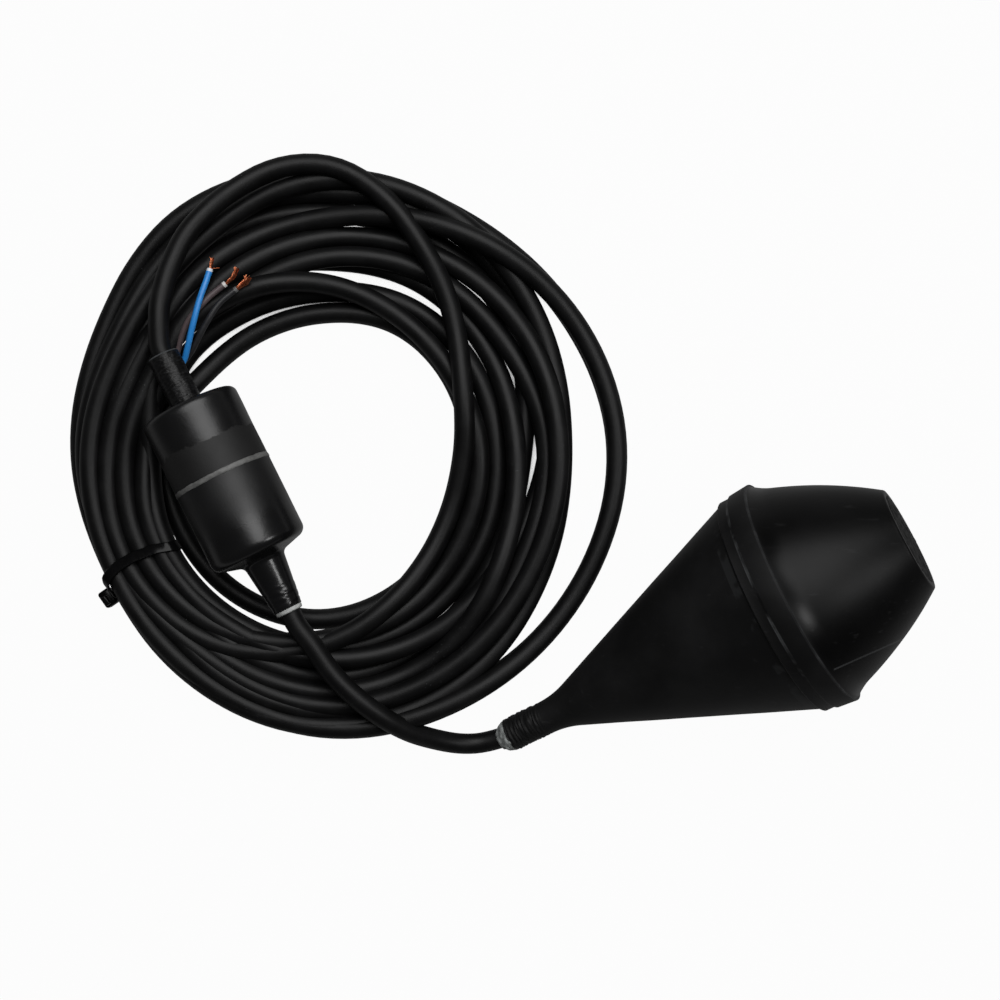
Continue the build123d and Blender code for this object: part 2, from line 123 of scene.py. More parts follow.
# Counterweight, along its own axis from the end of its upper sleeve
WEIGHT_END = (-161.8, 86.34, 32.0)
WEIGHT_HEADING = -63.7
WEIGHT_RADIUS = 22.0
WEIGHT_WALL = 2.4
SLEEVE_LENGTH = 26.0
SLEEVE_RADIUS = 7.0
SLEEVE_WALL = 2.2
BODY_TOP = 24.4
SEAM = 58.6
SEAM_WIDTH = 2.0
SEAM_DEPTH = 1.0
BODY_END = 95.8
STEM_START = 99.4
STEM_LENGTH = 24.0
STEM_ROOT_RADIUS = 9.4
STEM_TIP_RADIUS = 6.5
STEM_BORE = 4.75
RING_LENGTH = 2.0
RING_RADIUS = 5.7
FLOOR_WALL = 4.0
INNER_BEVEL = 5.0
CUP_WAVE = 0.12

# Free cable: points on the part's own route, closer to the photograph and lifted onto
# the drawn turns where they pass over the coil
LEAD_POINTS = (
    (-9.14, -82.78, 8.69), (-19.3, -86.99, 5.2), (-31.98, -87.71, 6.5), (-44.86, -84.26, 13.0),
    (-56.03, -79.3, 22.5), (-67.85, -71.16, 30.5), (-79.55, -61.79, 31.8), (-88.76, -52.18, 31.8),
    (-97.08, -39.48, 32.0), (-103.19, -32.23, 32.0), (-106.24, -26.08, 32.0),
)
RISER_POINTS = (
    (-161.8, 86.34, 32.0), (-163.65, 91.15, 32.0), (-163.9, 100.7, 32.0), (-163.7, 108.2, 31.5),
    (-162.4, 115.6, 30.5), (-160.4, 123.1, 29.5), (-157.6, 130.8, 28.0), (-154.2, 138.6, 26.5),
    (-148.9, 146.3, 25.0),
)
JACKET_END_POINTS = ((-171.3, 57.8, 17.0), (-168.5, 67.8, 18.4), (-161.9, 77.6, 20.0))

# Coil: its middle, and each turn's radius, in drawn units, at twelve clock directions from upper left
# to left again. A turn's two ranks say what it lies on: away from the tie, and inside it.
COIL_X = -94.63
COIL_Y = 45.73
FIRST_DIRECTION = 150.0
CLOCK_STEP = 30.0
CLOCK_COUNT = 12
DRAWN_UNIT = 0.4513
TURNS = (
    (12, 10, (195, 257, 288.5, 218, 160, 141, 143, 162, 195, 222, 225.5, 213.5)),
    (11, 11, (203, 217.6, 231, 256, 281.5, 295.5, 291.5, 285, 278, 256, 239.5, 232)),
    (8, 4, (226, 242, 271, 268, 251, 239.5, 251, 271, 276.5, 259.5, 239.5, 241.5)),
    (4, 1, (248, 273.5, 273.5, 269, 280, 295, 291, 281, 258, 230, 203, 196)),
    (7, 3, (190, 178, 192, 205, 211.5, 225, 229, 254, 262, 242, 213, 210)),
    (6, 2, (207, 197, 189, 194, 192.6, 193.8, 209, 236, 242.5, 227, 222, 220)),
    (2, 6, (208, 237, 237, 236, 224, 199.5, 202.5, 218, 227, 211, 195, 172)),
    (1, 0, (141, 133.7, 136.3, 146, 148, 149, 150, 161, 169.5, 167, 160.5, 159)),
    (3, 7, (165.3, 158, 157.5, 167, 171.7, 174.3, 184.5, 194.8, 198, 191, 182, 171)),
    (9, 9, (186, 179, 166.5, 153.5, 150, 157, 164, 178, 190, 206, 207, 196)),
    (10, 5, (184, 197, 211.5, 224.5, 234.5, 237, 241.5, 253, 257, 236, 233, 237)),
    (5, 8, (234, 255, 257.5, 257, 243, 226, 213, 214, 209, 198, 190, 180)),
)
DRAWN_RADII = [radius for turn in TURNS for radius in turn[2]]
COIL_START = 1.3
COIL_STOP = 142.9
TIE_ZONE_START = 8.5

# How the turns settle: steps along them, the share of a diameter that turns lie apart, the steepest
# climb and the highest centreline; and how far the drawn length may be from the counted one
FINE_STEP = 0.1
POINT_EVERY = 4
CONTACT_SHARE = 0.88
STEEPEST = 0.24
HIGHEST = 21.0
SETTLE_ROUNDS = 25
SMOOTH_ROUNDS = 3
LENGTH_SLACK = 0.1

# Tie round the bundle: it gathers the turns found in a thin slice of the coil, its strap runs a little
# above the bench, and swings sideways by a distance at each radius from the coil's middle. The head and
# the cut tail have their middles past the strap, up and across, their sizes, and their edges' radii.
TIE_DIRECTION = 214.7
TIE_WIDTH = 4.8
TIE_THICKNESS = 1.3
TIE_SLICE = 1.6
TIE_FOOT = 0.7
TIE_SLACK = 0.1
TIE_BEND = (
    (76.9, 1.1), (84.3, 4.7), (94.7, 7.2), (102.0, 7.7),
    (107.5, 6.9), (110.8, 5.4), (112.3, 2.7), (114.0, 0.6),
)
TIE_LOW = 8.0
TIE_RISEN = 18.0
TIE_STEPS = 40
TIE_HEAD = ((2.6, 9.5, 0.0), (6.0, 7.2, 8.0), 1.2)
TIE_TAIL = ((2.9, 15.0, 1.0), (2.4, 6.0, 4.4), 0.5)

# Stripped cores along the photograph's, and the bare strands past their ends
CORE_DIAMETER = 2.8
CORE_TONES = {
    "blue": ((0.012, 0.16, 0.50), (0.03, 0.27, 0.68), (0.62, 0.66, 0.7)),
    "brown": ((0.055, 0.04, 0.042), (0.105, 0.08, 0.083), (0.6, 0.58, 0.56)),
    "black": ((0.008, 0.008, 0.009), (0.02, 0.02, 0.022), (0.1, 0.1, 0.1)),
}
CORES = {
    "blue": ((-161.65, 77.2, 21.6), (-154.9, 82.7, 22.0), (-152.01, 91.11, 26.5), (-148.84, 101.85, 30.0),
             (-145.81, 112.96, 30.0), (-143.66, 118.56, 29.5), (-141.99, 124.87, 28.0)),
    "brown": ((-160.5, 76.9, 19.4), (-157.76, 88.91, 21.5), (-154.37, 97.83, 25.5), (-150.55, 104.51, 27.0),
              (-145.22, 110.0, 27.2), (-140.77, 114.41, 27.2), (-135.17, 118.6, 27.2)),
    "black": ((-162.9, 77.9, 19.2), (-153.46, 84.96, 21.0), (-147.21, 95.67, 25.5), (-143.05, 102.75, 27.0),
              (-139.09, 108.85, 27.2), (-135.17, 112.73, 27.2), (-130.19, 116.35, 27.2)),
}
TUFTS = {
    "blue": ((-141.99, 124.87, 28.0), (-141.33, 127.52, 28.2), (-140.89, 130.16, 28.6)),
    "brown": (
        (-135.17, 118.6, 27.2), (-132.44, 120.58, 27.5), (-130.67, 123.66, 28.0), (-130.1, 125.65, 28.4),
    ),
    "black": (
        (-130.19, 116.35, 27.2), (-127.59, 118.37, 27.4), (-125.6, 119.92, 27.8), (-125.38, 122.34, 28.2),
    ),
}
STRAYS = {"blue": ((-141.9, 125.2, 28.0), (-139.79, 125.09, 28.2), (-137.94, 125.31, 28.1))}
TUFT_TWIST = 3.0
TUFT_RADIUS = {"blue": 0.55, "brown": 0.75, "black": 1.1}
STRANDS_PER_CORE = 16
STRAND_RADIUS = 0.2


def heading_vector(heading, tilt=0.0):
    """Unit vector for a heading on the bench and a tilt above it, in degrees."""
    flat = math.cos(math.radians(tilt))
    return Vector((
        flat * math.cos(math.radians(heading)),
        flat * math.sin(math.radians(heading)),
        math.sin(math.radians(tilt)),
    ))


def axes_at(origin, x_axis, z_axis):
    """Matrix that carries a turned piece, drawn along local Z in millimetres, into the frame."""
    y_axis = z_axis.cross(x_axis)
    turn = Matrix((x_axis, y_axis, z_axis)).transposed().to_4x4()
    return Matrix.Translation(Vector(origin) * MM) @ turn @ Matrix.Scale(MM, 4)


UP = Vector((0, 0, 1))
FLOAT_WAY = heading_vector(FLOAT_HEADING, FLOAT_TILT)
FLOAT_AXES = axes_at(FLOAT_MOUTH, heading_vector(FLOAT_HEADING + 90), FLOAT_WAY)
WEIGHT_WAY = heading_vector(WEIGHT_HEADING)
WEIGHT_AXES = axes_at(WEIGHT_END, UP, WEIGHT_WAY)


class Flow:
    """A value, colour or vector that runs from one shader node into the next."""

    def __init__(self, finish, socket):
        self.finish = finish
        self.socket = socket

    def maths(self, operation, other):
        return self.finish.node("ShaderNodeMath", {"operation": operation}, {0: self, 1: other})

    def __add__(self, other):
        return self.maths("ADD", other)

    __radd__ = __add__

    def __mul__(self, other):
        return self.maths("MULTIPLY", other)

    __rmul__ = __mul__

    def __sub__(self, other):
        return self.maths("SUBTRACT", other)

    def __rsub__(self, other):
        return self.finish.node("ShaderNodeMath", {"operation": "SUBTRACT"}, {0: other, 1: self})

    def between(self, low, high):
        """0 below low, 1 above high, and smooth in between."""
        return self.finish.node(
            "ShaderNodeMapRange", {"interpolation_type": "SMOOTHSTEP"}, {0: self, 1: low, 2: high}
        )


class NodeBench:
    """Adds nodes to the emptied tree of a material or of the sky."""

    def __init__(self, holder):
        holder.use_nodes = True
        self.tree = holder.node_tree
        self.tree.nodes.clear()

    def node(self, kind, settings, values, result=0):
        """Adds a node: its settings first, then the values or links of its sockets."""
        made = self.tree.nodes.new(kind)
        for key, value in settings.items():
            setattr(made, key, value)
        for key, value in values.items():
            self.feed(made.inputs[key], value)
        return Flow(self, made.outputs[result]) if made.outputs else None

    def feed(self, socket, value):
        if isinstance(value, Flow):
            self.tree.links.new(value.socket, socket)
        else:
            socket.default_value = value


class Finish(NodeBench):
    """A material, built node by node on one principled shader."""

    def __init__(self, name):
        self.material = bpy.data.materials.new(name)
        super().__init__(self.material)
        self.shader = self.tree.nodes.new("ShaderNodeBsdfPrincipled")
        self.output = self.tree.nodes.new("ShaderNodeOutputMaterial")
        self.tree.links.new(self.shader.outputs[0], self.output.inputs[0])
        self.place = self.node("ShaderNodeTexCoord", {}, {}, "Object")

    def set(self, **values):
        """Sets or links sockets of the shader by their names, with _ for a space."""
        for key, value in values.items():
            self.feed(self.shader.inputs[key.replace("_", " ")], value)
        return self

    def cloud(self, scale, detail=3.0, roughness=0.55, stretch=None):
        """Soft noise at a scale, in features per metre; stretch squeezes it along the axes."""
        place = self.place
        if stretch:
            place = self.node("ShaderNodeMapping", {}, {"Vector": place, "Scale": stretch})
        return self.node("ShaderNodeTexNoise", {}, {
            "Vector": place, "Scale": scale, "Detail": detail, "Roughness": roughness,
        })

    def along(self, origin, axis):
        """Distance along an axis from an origin, in millimetres."""
        scaled = tuple(component / MM for component in axis)
        values = {0: self.place, 1: scaled}
        reach = self.node("ShaderNodeVectorMath", {"operation": "DOT_PRODUCT"}, values, 1)
        return reach - sum(a * b for a, b in zip(origin, axis))

    def blend(self, amount, first, second):
        """Colour between two, by an amount."""
        from_colour, to_colour = (c if isinstance(c, Flow) else (*c, 1.0) for c in (first, second))
        values = {0: amount, 6: from_colour, 7: to_colour}
        return self.node("ShaderNodeMix", {"data_type": "RGBA"}, values, 2)

    def bump(self, height, distance, strength=1.0):
        normal = self.node(
            "ShaderNodeBump", {}, {"Height": height, "Distance": distance * MM, "Strength": strength}
        )
        return self.set(Normal=normal)


def shade(colour, share):
    """A darker tone of a colour."""
    return tuple(channel * share for channel in colour)


def band_of(height, middle, half):
    """1 within half a width of a middle height, with soft edges."""
    low, high = middle - half, middle + half
    return height.between(low - EDGE, low) * (1 - height.between(high, high + EDGE))


def rubber_jacket():
    """Black rubber with a dull bloom and pale scuffs."""
    finish = Finish("rubber_jacket")
    bloom = finish.cloud(90.0, 4.0)
    specks = finish.cloud(1700.0, 2.0).between(0.69, 0.74)
    worn = finish.cloud(35.0, 3.0).between(0.5, 0.68)
    rubber = colours().jacket
    base = finish.blend(bloom.between(0.35, 0.7), shade(rubber, 0.56), rubber)
    colour = finish.blend(specks * worn * 0.6, base, (0.12, 0.125, 0.13))
    finish.set(Base_Color=colour, Roughness=bloom * 0.16 + 0.38, Specular_IOR_Level=0.2)
    grain = finish.cloud(1500.0, 2.0) + finish.cloud(240.0, 2.0) * 1.6
    return finish.bump(grain, 0.06, 0.5).material


def float_plastic(name, plastic, roughness):
    """Dull black moulded plastic with soft streaks and fine scratches, and painted highlight lines along
    the belt's ridge and rim and along the cap's flash line.
    """
    finish = Finish(name)
    smear = finish.cloud(26.0, 5.0, 0.6)
    scratches = finish.cloud(420.0, 3.0, 0.6, (0.16, 1.0, 1.0)).between(0.62, 0.74)
    height = finish.along(FLOAT_MOUTH, FLOAT_WAY)
    # Patches that break up the painted highlight lines on the belt
    highlight_patches = finish.cloud(70.0, 4.0, 0.6).between(0.4, 0.62)
    # Painted highlight: a pale line along the ridge at the end of the belt's lip, broken into patches
    ridge_highlight = band_of(height, CONE_END + LIP_LENGTH + 0.2, 0.5) * highlight_patches
    strip = band_of(height, CONE_END - 2.2, 1.7) * finish.cloud(32.0, 4.0, 0.7).between(0.5, 0.56)
    # Painted highlight: a pale line along the belt's rim, broken into patches
    rim = band_of(height, BELT_END - 0.2, 0.3) * (highlight_patches * 0.3 + 0.12)
    # Painted highlight: a pale line where the cap has a thin raised flash line
    flash_highlight = band_of(finish.along(FLASH_START, FLASH_NORMAL), 0.0, 0.15)
    flash_highlight = flash_highlight * band_of(finish.along(FLASH_START, FLASH_WAY), FLASH_LENGTH / 2, FLASH_LENGTH / 2)
    gleam = height.between(BELT_END, BELT_END + 1.5) * (1 - height.between(BELT_END + 3, BELT_END + 9))
    base = finish.blend(smear.between(0.35, 0.7), shade(plastic, 0.48), plastic)
    marked = finish.blend(scratches * 0.12, base, (0.05, 0.05, 0.052))
    worn = finish.blend(strip, marked, (0.016, 0.0165, 0.017))
    # Pale tone of the painted highlight lines on the belt and the cap
    colour = finish.blend(ridge_highlight + rim + flash_highlight * 0.5, worn, (0.06, 0.062, 0.064))
    rough = smear * 0.2 + gleam * -0.1 + roughness
    finish.set(Base_Color=colour, Roughness=rough, Specular_IOR_Level=0.13)
    grain = finish.cloud(2200.0, 2.0) * 0.4 + finish.cloud(60.0, 3.0) * 3.0
    return finish.bump(grain, 0.05, 0.6).material


def weight_plastic():
    """Black plastic of the counterweight: glossy, with a dull patch above the seam."""
    finish = Finish("weight_plastic")
    height = finish.along(WEIGHT_END, WEIGHT_WAY)
    ragged = finish.cloud(80.0, 5.0, 0.7) * 9.0
    dull = (height + ragged).between(47.8, 48.4) * (1 - height.between(SEAM - 1.6, SEAM - 0.8))
    smear = finish.cloud(34.0, 5.0, 0.6)
    hazy = height.between(SEAM, SEAM + 1) * (1 - height.between(SEAM + 6, BODY_END - 10))
    plastic = colours().weight
    base = finish.blend(smear, shade(plastic, 0.46), plastic)
    colour = finish.blend(dull * 0.7, base, (0.0036, 0.0035, 0.0035))
    glossy = height.between(BODY_END - 18, BODY_END - 6)
    rough = smear * 0.34 + dull * 0.3 + hazy * 0.16 + glossy * -0.06 + 0.16
    finish.set(Base_Color=colour, Roughness=rough, Specular_IOR_Level=0.4)
    grain = finish.cloud(180.0, 3.0) + finish.cloud(1500.0, 2.0) * 0.3
    return finish.bump(grain, 0.12, 0.5).material


def sealant(name, pale):
    """Smeared grey-white sealant, dirty in its hollows."""
    finish = Finish(name)
    dirt = finish.cloud(260.0, 4.0, 0.6)
    colour = finish.blend(dirt.between(0.3, 0.6), shade(pale, 0.55), pale)
    finish.set(Base_Color=colour, Roughness=0.55)
    return finish.bump(finish.cloud(700.0, 4.0), 0.12, 0.6).material


def wrapped_film():
    """Black heat-shrunk wrap with shiny creases and a painted highlight round its end."""
    finish = Finish("wrapped_film")
    height = finish.along(WEIGHT_END, WEIGHT_WAY)
    around = finish.along(WEIGHT_END, heading_vector(WEIGHT_HEADING + 90))
    across = finish.node("ShaderNodeCombineXYZ", {}, {0: height * 1.3, 1: around * 0.45})
    crease = finish.node("ShaderNodeTexNoise", {}, {
        "Vector": across, "Scale": 1.0, "Detail": 3.0, "Roughness": 0.6,
    })
    # Painted highlight: a pale band round the sleeve's end
    rim = 1 - height.between(-0.1, 0.4)
    dark = finish.blend(crease.between(0.5, 0.7), (0.003, 0.003, 0.0032), (0.012, 0.012, 0.0125))
    colour = finish.blend(rim * 0.6, dark, (0.09, 0.095, 0.1))
    finish.set(Base_Color=colour, Roughness=crease * 0.5 + 0.12, Specular_IOR_Level=0.24)
    return finish.bump(crease, 0.35, 0.9).material


def end_face_plastic():
    """Rough streaked black face of the end plug."""
    finish = Finish("end_face_plastic")
    streak = finish.cloud(300.0, 5.0, 0.7, (1.0, 0.3, 0.3))
    colour = finish.blend(streak.between(0.55, 0.68), (0.0015, 0.0015, 0.0015), (0.05, 0.05, 0.051))
    finish.set(Base_Color=colour, Roughness=streak * 0.3 + 0.45, Specular_IOR_Level=0.16)
    return finish.bump(streak, 0.8, 0.8).material


def nylon():
    """Glossy black nylon of the tie."""
    finish = Finish("tie_nylon")
    haze = finish.cloud(400.0, 2.0)
    colour = finish.blend(haze, (0.0015, 0.0015, 0.0016), (0.003, 0.003, 0.0032))
    return finish.set(Base_Color=colour, Roughness=haze * 0.1 + 0.14, Specular_IOR_Level=0.14).material


def core_sleeve(name, dark, light, rim, end, way):
    """Coloured insulation of a core, a little dusty, with its cut rim at the end."""
    finish = Finish(name)
    dust = finish.cloud(500.0, 4.0)
    cut = finish.along(end, way).between(-1.5, -1.2)
    colour = finish.blend(cut, finish.blend(dust, dark, light), rim)
    finish.set(Base_Color=colour, Roughness=dust * 0.15 + 0.32)
    return finish.bump(dust, 0.05, 0.5).material


def bare_copper():
    """Bare copper strands, redder where they have darkened."""
    finish = Finish("bare_copper")
    tarnish = finish.cloud(900.0, 3.0)
    colour = finish.blend(tarnish.between(0.35, 0.65), (0.8, 0.3, 0.15), (0.4, 0.1, 0.04))
    return finish.set(Base_Color=colour, Roughness=tarnish * 0.2 + 0.22, Metallic=1.0).material


def plain_finish(name, dark, light, roughness, metallic=0.0, scale=600.0):
    """Finish of the inner pieces: one colour with a fine variation."""
    finish = Finish(name)
    fine = finish.cloud(scale, 3.0)
    colour = finish.blend(fine, dark, light)
    finish.set(Base_Color=colour, Roughness=fine * 0.12 + roughness, Metallic=metallic)
    return finish.bump(fine, 0.03, 0.4).material


def add_object(name, data):
    made = bpy.data.objects.new(name, data)
    bpy.context.scene.collection.objects.link(made)
    return made


def stand_for(piece, slot, *nodes):
    """Hides the CAD nodes that a piece stands for, and returns the piece. Its slot is not used."""
    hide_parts(*nodes)
    return piece


def show(name, mesh, material, node, slot, crisp=None):
    """Puts a smooth-shaded mesh on the root body in place of a CAD node; crisp keeps sharper edges."""
    piece = add_object(name, mesh)
    mesh.materials.append(material)
    mesh.polygons.foreach_set("use_smooth", [True] * len(mesh.polygons))
    if crisp:
        sharpen(mesh, crisp)
    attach(piece, "root")
    return stand_for(piece, slot, node)


def mesh_of(name, points, faces):
    mesh = bpy.data.meshes.new(name)
    mesh.from_pydata(points, [], faces)
    mesh.update()
    return mesh


@contextmanager
def reworked(mesh):
    """Opens a mesh for work on its edges and faces, and writes the work back."""
    solid = bmesh.new()
    solid.from_mesh(mesh)
    yield solid
    solid.to_mesh(mesh)
    solid.free()


def turned_mesh(name, profile, axes, segments, push=None):
    """Closed turned mesh from a closed list of (radius, height); push moves a point's radius."""
    points = []
    for radius, height in profile:
        for i in range(segments):
            angle = 2 * math.pi * i / segments
            r = radius + (push(radius, height, angle) if push else 0.0)
            points.append(axes @ Vector((r * math.cos(angle), r * math.sin(angle), height)))
    rows = len(profile)
    faces = []
    for row in range(rows):
        after = (row + 1) % rows
        for i in range(segments):
            j = (i + 1) % segments
            low, high = row * segments, after * segments
            faces.append((low + i, low + j, high + j, high + i))
    mesh = mesh_of(name, points, faces)
    with reworked(mesh) as solid:
        bmesh.ops.remove_doubles(solid, verts=solid.verts, dist=1e-6)
        bmesh.ops.dissolve_degenerate(solid, edges=solid.edges, dist=1e-7)
        bmesh.ops.recalc_face_normals(solid, faces=solid.faces)
    return mesh


def sharpen(mesh, angle):
    """Keeps edges of a smooth-shaded mesh crisp where they turn by more than an angle."""
    with reworked(mesh) as solid:
        for edge in solid.edges:
            if len(edge.link_faces) == 2 and edge.calc_face_angle() > math.radians(angle):
                edge.smooth = False


def spread(points, longest):
    """Adds points between a profile's points so that no step is longer than a limit."""
    result = []
    for first, second in zip(points, points[1:] + points[:1]):
        length = math.dist(first, second)
        count = max(1, math.ceil(length / longest))
        for i in range(count):
            part = i / count
            result.append(tuple(a + (b - a) * part for a, b in zip(first, second)))
    return result


def rounded(points, corner, radius, steps=5):
    """Rounds one corner of a profile with an arc of a radius."""
    here = Vector(points[corner])
    before = (Vector(points[corner - 1]) - here).normalized()
    after = (Vector(points[(corner + 1) % len(points)]) - here).normalized()
    half = before.angle(after) / 2
    reach = radius / math.tan(half)
    middle = here + (before + after).normalized() * radius / math.sin(half)
    start = here + before * reach - middle
    sweep = start.angle_signed(here + after * reach - middle)
    arc = []
    for i in range(steps + 1):
        turn = Matrix.Rotation(-sweep * i / steps, 2)
        arc.append(tuple(middle + turn @ start))
    return points[:corner] + arc + points[corner + 1:]


def ripple(place, scale, seed):
    """Repeatable noise between -1 and 1 at a point in millimetres."""
    return noise.noise(Vector(place) * scale + Vector((seed, seed * 0.7, seed * 1.3)))


def seen_at(x, y, height):
    """Moves a point drawn at the trace height along its line of sight to its own height."""
    share = (CAMERA_HEIGHT - height) / (CAMERA_HEIGHT - TRACE_HEIGHT)
    return CAMERA_X + (x - CAMERA_X) * share, CAMERA_Y + (y - CAMERA_Y) * share


def turn_radius(place):
    """Radius at a place counted in clock steps from the first turn's start, on a smooth curve."""
    radii = DRAWN_RADII
    i = int(place)
    f = place - i
    a, b, c, d = (radii[min(max(j, 0), len(radii) - 1)] for j in (i - 1, i, i + 1, i + 2))
    bend = 2 * a - 5 * b + 4 * c - d
    twist = 3 * b - a - 3 * c + d
    return 0.5 * (2 * b + (c - a) * f + bend * f * f + twist * f ** 3) * DRAWN_UNIT


def turn_rank(place):
    """What a turn lies on at a place: higher ranks lie over lower ones."""
    turn = min(int(place // CLOCK_COUNT), len(TURNS) - 1)
    in_tie = place % CLOCK_COUNT >= TIE_ZONE_START
    return TURNS[turn][1 if in_tie else 0]


def settled_coil(diameter):
    """The coil's centreline as (place, radius, angle, height) steps.

    Each turn lies on the bench or on the turns of lower rank under it.
    """
    count = int((COIL_STOP - COIL_START) / FINE_STEP) + 1
    places = [COIL_START + i * FINE_STEP for i in range(count)]
    radii = [turn_radius(p) for p in places]
    angles = [math.radians(FIRST_DIRECTION - CLOCK_STEP * p) for p in places]
    ranks = [turn_rank(p) for p in places]
    flat = [(r * math.cos(a), r * math.sin(a)) for r, a in zip(radii, angles)]
    per_turn = round(CLOCK_COUNT / FINE_STEP)
    contact = diameter * CONTACT_SHARE
    under = []
    for i in range(count):
        found = []
        for turn in range(-len(TURNS), len(TURNS) + 1):
            for shift in (-2, -1, 0, 1, 2):
                j = i + turn * per_turn + shift
                if turn == 0 or not 0 <= j < count or ranks[j] >= ranks[i]:
                    continue
                gap = math.dist(flat[i], flat[j])
                if gap < contact:
                    found.append((j, math.sqrt(contact * contact - gap * gap)))
        under.append(found)
    heights = [diameter / 2] * count
    heights[0] = RISER_POINTS[-1][2]
    for _ in range(SETTLE_ROUNDS):
        before = list(heights)
        for i in range(count):
            for j, lift in under[i]:
                heights[i] = min(max(heights[i], heights[j] + lift), max(HIGHEST, heights[i]))
        for order in (range(1, count), range(count - 2, -1, -1)):
            for i in order:
                j = i - 1 if order.step > 0 else i + 1
                drop = STEEPEST * math.dist(flat[i], flat[j])
                heights[i] = max(heights[i], heights[j] - drop)
        if max(abs(a - b) for a, b in zip(before, heights)) < 0.02:
            break
    for _ in range(SMOOTH_ROUNDS):
        padded = heights[:1] * 2 + heights + heights[-1:] * 2
        heights = [sum(padded[i:i + 5]) / 5 for i in range(count)]
    return list(zip(places, radii, angles, heights))


def coil_points(coil):
    """Control points of the cable's turns, in millimetres, a little wide so that the line fits."""
    step = math.radians(CLOCK_STEP * FINE_STEP * POINT_EVERY)
    widen = 1 / (0.75 + 0.25 * math.cos(step))
    points = []
    for _, radius, angle, height in coil[::POINT_EVERY]:
        x = COIL_X + radius * widen * math.cos(angle)
        y = COIL_Y + radius * widen * math.sin(angle)
        points.append((*seen_at(x, y, height), height))
    return points


def bar_curve(name, splines, radius, material, round_steps, smooth_steps):
    """Round bars on the root body, along smooth open lines with control points in millimetres."""
    curve = bpy.data.curves.new(name, "CURVE")
    curve.dimensions = "3D"
    curve.bevel_depth = radius * MM
    curve.bevel_resolution = round_steps
    curve.use_fill_caps = True
    for points in splines:
        spline = curve.splines.new("NURBS")
        spline.points.add(len(points) - 1)
        for target, (x, y, z) in zip(spline.points, points):
            target.co = (x * MM, y * MM, z * MM, 1.0)
        spline.order_u = 3
        spline.use_endpoint_u = True
        spline.resolution_u = smooth_steps
    piece = add_object(name, curve)
    curve.materials.append(material)
    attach(piece, "root")
    return piece


def curve_length(piece):
    """Length of a curve's own line, in metres."""
    line = piece.copy()
    line.data = piece.data.copy()
    line.data.bevel_depth = 0.0
    mesh = bpy.data.meshes.new_from_object(line)
    spots = [v.co.copy() for v in mesh.vertices]
    bpy.data.meshes.remove(mesh)
    bpy.data.objects.remove(line)
    return sum((b - a).length for a, b in zip(spots, spots[1:]))


def hull(points):
    """Convex outline of flat points, anticlockwise."""
    ordered = sorted(set(points))

    def half(sequence):
        chain = []
        for p in sequence:
            while len(chain) > 1 and (
                (chain[-1][0] - chain[-2][0]) * (p[1] - chain[-2][1])
                - (chain[-1][1] - chain[-2][1]) * (p[0] - chain[-2][0])
            ) <= 0:
                chain.pop()
            chain.append(p)
        return chain[:-1]

    return half(ordered) + half(reversed(ordered))


class CableSizes(bpy.types.PropertyGroup):
    """Sizes of the free cable."""

    diameter: bpy.props.FloatProperty(
        name="Diameter", description="Outside of the jacket", default=9.3 * MM, unit="LENGTH"
    )
    counted_length: bpy.props.FloatProperty(
        name="Length", description="The whole cable, from the float to its stripped end", default=7.59,
        unit="LENGTH",
    )
    strand_splay: bpy.props.FloatProperty(
        name="Strand splay", description="How far the bare strands spread", default=1.0, min=0.0
    )


class MouldingMarks(bpy.types.PropertyGroup):
    """How rough the float and the counterweight are."""

    neck_ring_depth: bpy.props.FloatProperty(
        name="Neck rings", description="Depth of the neck's creases", default=0.35 * MM, unit="LENGTH"
    )
    stem_crease_depth: bpy.props.FloatProperty(
        name="Stem creases", description="Depth of the creases at the stem's mouth", default=0.32 * MM,
        unit="LENGTH",
    )
    sleeve_fold_depth: bpy.props.FloatProperty(
        name="Sleeve folds", description="Depth of the sleeve's folds", default=0.22 * MM, unit="LENGTH"
    )


class Colours(bpy.types.PropertyGroup):
    """Lightest tone of each black finish."""

    cone: bpy.props.FloatVectorProperty(
        name="Cone", description="Cone and belt of the float", subtype="COLOR",
        default=(0.0105, 0.0105, 0.0108),
    )
    cap: bpy.props.FloatVectorProperty(
        name="Cap", description="Bowed cap of the float", subtype="COLOR", default=(0.0022, 0.0022, 0.0023)
    )
    weight: bpy.props.FloatVectorProperty(
        name="Weight", description="Cups of the counterweight", subtype="COLOR",
        default=(0.0056, 0.0056, 0.006),
    )
    jacket: bpy.props.FloatVectorProperty(
        name="Jacket", description="Jacket of the cable", subtype="COLOR", default=(0.0042, 0.0042, 0.0044)
    )


class StageLook(bpy.types.PropertyGroup):
    """Light and bench."""

    lamp_power: bpy.props.FloatProperty(
        name="Lamp", description="Power of the soft overhead lamp", default=14.0, subtype="POWER"
    )
    side_power: bpy.props.FloatProperty(
        name="Side lamp", description="Power of the small lamp at the right", default=3.6, subtype="POWER"
    )
    sky: bpy.props.FloatProperty(name="Sky", description="Strength of the even light", default=0.07)
    bench_colour: bpy.props.FloatVectorProperty(
        name="Bench", description="Colour of the bench", default=(0.22, 0.22, 0.22), subtype="COLOR"
    )


def looks():
    return bpy.context.scene.float_switch_stage


def cable_sizes():
    return bpy.context.scene.float_switch_cable


def marks():
    return bpy.context.scene.float_switch_marks


def colours():
    return bpy.context.scene.float_switch_colours


